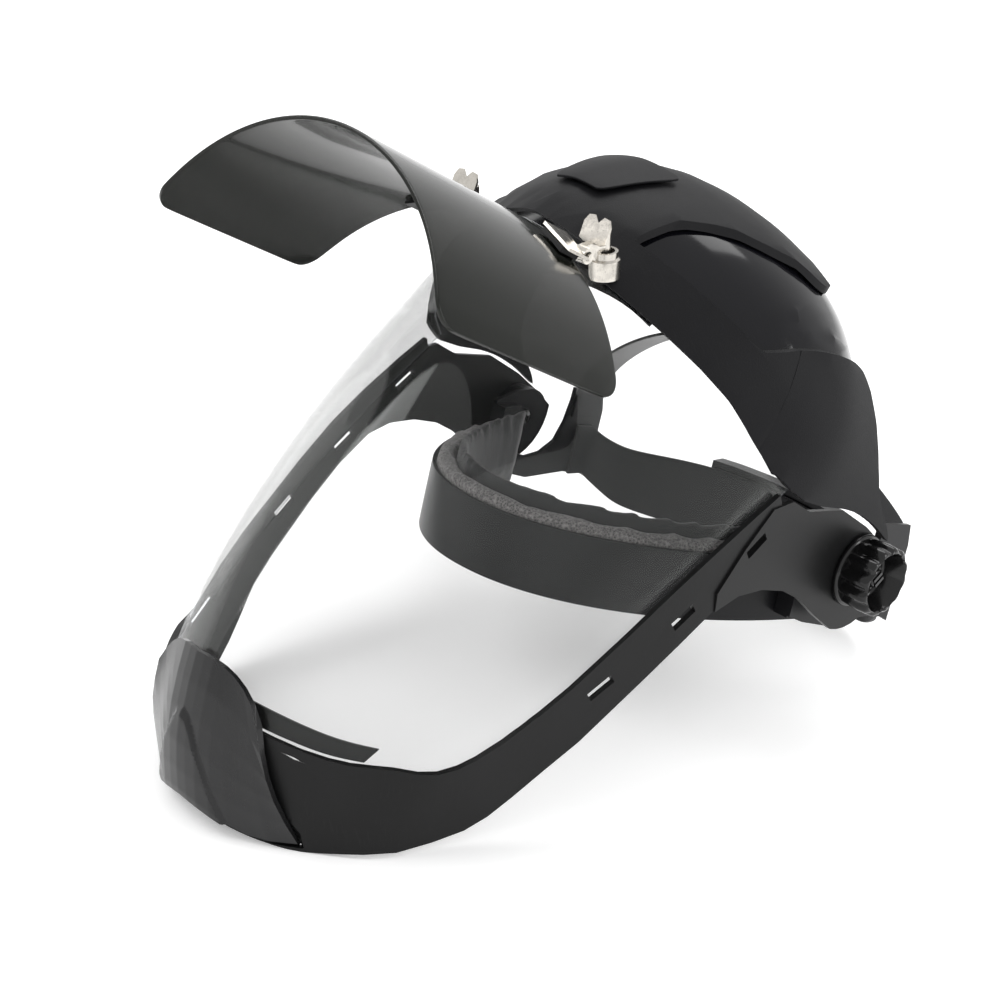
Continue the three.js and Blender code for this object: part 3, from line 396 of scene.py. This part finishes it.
def piece(name, bm, finish, node):
    """Object of a finished mesh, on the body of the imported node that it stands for."""
    mesh = bpy.data.meshes.new(name)
    bm.to_mesh(mesh)
    bm.free()
    made = bpy.data.objects.new(name, mesh)
    bpy.context.scene.collection.objects.link(made)
    made.data.materials.append(finish)
    for face in mesh.polygons:
        face.use_smooth = True
    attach(made, frame["nodes"][node]["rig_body"])
    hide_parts(node)
    return made


def merged_copy(node, creased=True):
    """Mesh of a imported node: doubles merged, flat pairs of triangles joined, arrises sharp."""
    bm = bmesh.new()
    bm.from_mesh(frame["nodes"][node].data)
    bmesh.ops.remove_doubles(bm, verts=bm.verts, dist=WELD)
    bmesh.ops.join_triangles(
        bm, faces=bm.faces, angle_face_threshold=math.radians(JOIN_FLAT),
        angle_shape_threshold=math.radians(JOIN_SQUARE),
    )
    for edge in bm.edges:
        edge.smooth = edge.calc_face_angle(0) <= math.radians(ARRIS_TURN)
    if creased:
        creases = bm.edges.layers.float.new("crease_edge")
        for edge in bm.edges:
            edge[creases] = 0.0 if edge.smooth else 1.0
    return bm


def rounded(made, width):
    """Rounds the arrises of a piece."""
    edge = made.modifiers.new("arris", "BEVEL")
    edge.width = width
    edge.segments = 2
    edge.limit_method = "ANGLE"
    edge.angle_limit = math.radians(ARRIS_TURN)
    edge.use_clamp_overlap = True
    return made


def evened(made):
    """Shades a cut moulding by its larger faces."""
    shade = made.modifiers.new("shade", "WEIGHTED_NORMAL")
    shade.keep_sharp = True
    return made


def curved(made, levels):
    """Turns a lattice of flat faces into a curved wall."""
    curve = made.modifiers.new("curve", "SUBSURF")
    curve.levels = levels
    curve.render_levels = levels
    return made


def cut_moulding(node, finish, arris, levels=0):
    """Hard piece with cut edges: its walls flat or curved, its arrises rounded."""
    made = piece(f"{node}_moulding", merged_copy(node), finish, node)
    if levels:
        curved(made, levels)
    return evened(rounded(made, arris))


def bent_sheet(node, finish, arris):
    """Wall of even thickness, curved both ways, with soft edges."""
    made = piece(f"{node}_sheet", merged_copy(node, creased=False), finish, node)
    return curved(rounded(made, arris), SHEET_LEVELS)


def cut_edges(made, finish, longest):
    """Gives the faces with a side shorter than `longest`, a sheet's rim, their own finish."""
    made.data.materials.append(finish)
    for face in made.data.polygons:
        corners = [made.data.vertices[i].co for i in face.vertices]
        if min((a - b).length for a, b in zip(corners, corners[1:] + corners[:1])) < longest:
            face.material_index = 1


def dome_under_brow():
    """Inner dome, its front edge drawn a little further in under the cover's brow."""
    bm = merged_copy("crown_dome")

    def sweep(vertex):
        return math.atan2(vertex.co.z - PIVOT.z, PIVOT.y - vertex.co.y)

    first = min(sweep(vertex) for vertex in bm.verts)
    edge = [vertex for vertex in bm.verts if sweep(vertex) < first + DOME_EDGE_SWEEP]
    for vertex in edge:
        out = vertex.co - Vector((vertex.co.x, PIVOT.y, PIVOT.z))
        vertex.co -= out.normalized() * DOME_TUCK_IN
    bmesh.ops.rotate(bm, verts=edge, cent=PIVOT, matrix=Matrix.Rotation(DOME_TUCK_TURN, 3, "X"))
    made = piece("crown_dome_moulding", bm, DOME_BLACK, "crown_dome")
    return evened(rounded(curved(made, SHELL_LEVELS), SHELL_ARRIS))


def read_along(table, key):
    """Value between the rows of a table of pairs, straight from one row to the next."""
    for (low, start), (high, end) in zip(table, table[1:]):
        if key <= high:
            return start + (end - start) * (key - low) / (high - low)
    return table[-1][1]


def arched_flap():
    """Chin flap with the arched panel that stands proud of its middle."""
    bm = merged_copy("chin_flap")
    made = piece("chin_flap_moulding", bm, FLAP_BLACK, "chin_flap")
    curved(made, FLAP_LEVELS).modifiers["curve"].subdivision_type = "SIMPLE"
    apply_modifiers(made)
    outward = [vertex.normal.copy() for vertex in made.data.vertices]
    for vertex, normal in zip(made.data.vertices, outward):
        if normal.y > FLAP_FRONT:
            continue
        inside = read_along(FLAP_ARCH, abs(vertex.co.x)) - vertex.co.z
        share = min(max(0.5 + inside / FLAP_CREASE, 0), 1)
        vertex.co += normal * FLAP_STAND * share * share * (3 - 2 * share)
    return evened(rounded(made, SHELL_ARRIS))


def turned_body(bm, rings, sides, lobes):
    """Adds a closed body spun about the X axis; each ring is radius, place out and lobe depth."""
    lobed = bm.verts.layers.float.new("lobed")
    profile = []
    for radius, out, depth in rings:
        point = bm.verts.new((out, radius, 0))
        point[lobed] = depth
        profile.append(point)
    line = [bm.edges.new(ends) for ends in zip(profile, profile[1:])]
    bmesh.ops.spin(
        bm, geom=profile + line, cent=(0, 0, 0), axis=(1, 0, 0), angle=2 * math.pi,
        steps=sides, use_merge=True,
    )
    bmesh.ops.holes_fill(bm, edges=[edge for edge in bm.edges if edge.is_boundary])
    for point in bm.verts:
        reach = Vector((0, point.co.y, point.co.z))
        angle = math.atan2(reach.z, reach.y)
        share = (0.5 + 0.5 * math.cos(lobes * angle)) ** LOBE_WAIST
        point.co -= reach.normalized() * point[lobed] * share
    bm.verts.layers.float.remove(lobed)


def tension_knob(side):
    """Lobed knob with a base flange, a deep round recess and a slotted screw head in it."""
    node = frame["nodes"][f"knob_{side}"]
    corners = [node.matrix_world @ Vector(corner) for corner in node.bound_box]
    facing = 1 if side == "left" else -1
    face = max(facing * corner.x for corner in corners)
    stud_end = min(facing * corner.x for corner in corners)
    base = face - KNOB_DEPTH
    stud = [
        (KNOB_STUD - KNOB_STUD_ARRIS, stud_end, 0), (KNOB_STUD, stud_end + KNOB_STUD_ARRIS, 0),
        (KNOB_STUD, base, 0),
    ]
    grip = [(radius, base + past, KNOB_LOBE * share) for radius, past, share in KNOB_BASE_RINGS]
    front = [(radius, face - short, KNOB_LOBE * share) for radius, short, share in KNOB_FACE_RINGS]
    bm = bmesh.new()
    turned_body(bm, stud + grip + front, KNOB_SIDES, KNOB_LOBES)
    for half in (-1, 1):
        bar = bmesh.ops.create_cube(bm, size=1)["verts"]
        bmesh.ops.scale(bm, verts=bar, vec=SCREW_BAR)
        bmesh.ops.translate(bm, verts=bar, vec=(face - SCREW_BAR_SINK, 0, half * SCREW_BAR_OFFSET))
    bmesh.ops.scale(bm, verts=bm.verts, vec=(facing, 1, 1))
    bmesh.ops.recalc_face_normals(bm, faces=bm.faces)
    bmesh.ops.rotate(bm, verts=bm.verts, matrix=Matrix.Rotation(KNOB_TURN, 3, "X"))
    bmesh.ops.translate(bm, verts=bm.verts, vec=(0, PIVOT.y, PIVOT.z))
    for edge in bm.edges:
        edge.smooth = edge.calc_face_angle(0) < math.radians(KNOB_ARRIS_TURN)
    return piece(f"knob_{side}_turned", bm, KNOB_BLACK, f"knob_{side}")


def apply_modifiers(made):
    """Fixes a piece's modifiers into its mesh."""
    graph = bpy.context.evaluated_depsgraph_get()
    settled = bpy.data.meshes.new_from_object(made.evaluated_get(graph))
    made.modifiers.clear()
    made.data = settled


def plumped(node, finish, cell, pressure, most):
    """Padding cut into cells and blown out by a cloth simulation, no point further than `most`."""
    made = piece(f"{node}_padding", merged_copy(node, creased=False), finish, node)
    cells = made.modifiers.new("cells", "REMESH")
    cells.mode = "VOXEL"
    cells.voxel_size = cell
    apply_modifiers(made)
    flat = [vertex.co.copy() for vertex in made.data.vertices]
    cloth = made.modifiers.new("cloth", "CLOTH")
    cloth.settings.use_pressure = True
    cloth.settings.uniform_pressure_force = pressure
    cloth.settings.effector_weights.gravity = 0
    cloth.settings.quality = CLOTH_QUALITY
    cloth.point_cache.frame_start = 1
    cloth.point_cache.frame_end = CLOTH_FRAMES
    scene = bpy.context.scene
    for moment in range(1, CLOTH_FRAMES + 1):
        scene.frame_set(moment)
    apply_modifiers(made)
    scene.frame_set(1)
    for vertex, rest in zip(made.data.vertices, flat):
        step = vertex.co - rest
        if step.length > most:
            vertex.co = rest + step * (most / step.length)
    for face in made.data.polygons:
        face.use_smooth = True
    return curved(made, PADDING_LEVELS)


# Shield
cut_moulding("crown_cover", COVER_BLACK, arris=0.0007, levels=SHELL_LEVELS)
dome_under_brow()
bent_sheet("badge_plate", COVER_BLACK, arris=0.0003)
window = bent_sheet("clear_window", CLEAR, arris=0.0002)
# The window's rim faces take the pale finish that paints a highlight along its cut edges
cut_edges(window, RIM_PAINTED_HIGHLIGHT, longest=WINDOW_EDGE)
cut_moulding("shield_frame", FRAME_BLACK, arris=0.0005)
bent_sheet("window_retainer", FRAME_BLACK, arris=0.0003)
arched_flap()

# Flip lens and what carries it
bent_sheet("tinted_lens", TINT, arris=0.0003)
for side in ("left", "right"):
    cut_moulding(f"hinge_collar_{side}", STEEL, arris=0.00025)
    cut_moulding(f"lens_clip_{side}", STEEL, arris=0.0002)
    cut_moulding(f"clip_jaw_{side}", FRAME_BLACK, arris=0.0003)

# Headgear
bent_sheet("forehead_band", BAND_BLACK, arris=0.0004)
foam = plumped("brow_foam", FOAM, cell=0.004, pressure=2.0, most=0.0006)
pad = plumped("sweat_pad", CLOTH, cell=0.003, pressure=4.0, most=0.0012)
bent_sheet("nape_band", BAND_BLACK, arris=0.0004)
cut_moulding("ratchet_housing", BAND_BLACK, arris=0.0006)
cut_moulding("ratchet_knob", KNOB_BLACK, arris=0.0006)
bent_sheet("crown_strap", BAND_BLACK, arris=0.0003)
for side in ("left", "right"):
    cut_moulding(f"side_yoke_{side}", BAND_BLACK, arris=0.0004)
    tension_knob(side)


# Studio

def studio_floor():
    """White paper floor with a faint glow of its own."""
    bm = bmesh.new()
    bmesh.ops.create_grid(bm, x_segments=1, y_segments=1, size=FLOOR_HALF)
    mesh = bpy.data.meshes.new("floor")
    bm.to_mesh(mesh)
    bm.free()
    ground = bpy.data.objects.new("floor", mesh)
    bpy.context.scene.collection.objects.link(ground)
    paper = Finish("floor_paper")
    soft = paper.texture("ShaderNodeTexNoise", Scale=3.0)
    paper.between(soft.outputs["Fac"], (0.96, 0.96, 0.96), (0.98, 0.98, 0.98), "Base Color")
    paper.set(Roughness=0.9, Emission_Color=(1, 1, 1, 1), Emission_Strength=0.22)
    ground.data.materials.append(paper.material)


def soft_light(name, place, aim, width, height, power):
    """Wide soft lamp that faces a point."""
    lamp = bpy.data.lights.new(name, "AREA")
    lamp.shape = "RECTANGLE"
    lamp.size = width
    lamp.size_y = height
    lamp.energy = power
    holder = bpy.data.objects.new(name, lamp)
    bpy.context.scene.collection.objects.link(holder)
    holder.location = place
    holder.rotation_euler = (Vector(place) - Vector(aim)).to_track_quat("Z", "Y").to_euler()


def studio_air():
    """Even white light from all round."""
    world = bpy.data.worlds.new("studio")
    world.use_nodes = True
    air = world.node_tree.nodes["Background"]
    air.inputs["Color"].default_value = (1, 1, 1, 1)
    air.inputs["Strength"].default_value = AIR_STRENGTH
    bpy.context.scene.world = world


def photographer():
    """Camera at the photograph's place and angle."""
    back = CAMERA_RIGHT.cross(CAMERA_UP).normalized()
    turn = Matrix((CAMERA_RIGHT, CAMERA_UP, back)).transposed().to_4x4()
    camera = bpy.data.cameras.new("camera")
    camera.lens = CAMERA_LENS
    camera.sensor_width = SENSOR
    holder = bpy.data.objects.new("camera", camera)
    bpy.context.scene.collection.objects.link(holder)
    holder.matrix_world = Matrix.Translation(CAMERA_PLACE) @ turn
    bpy.context.scene.camera = holder


studio_floor()
studio_air()
for light in SOFT_LIGHTS:
    soft_light(*light)
photographer()
bpy.context.scene.view_settings.view_transform = "Standard"
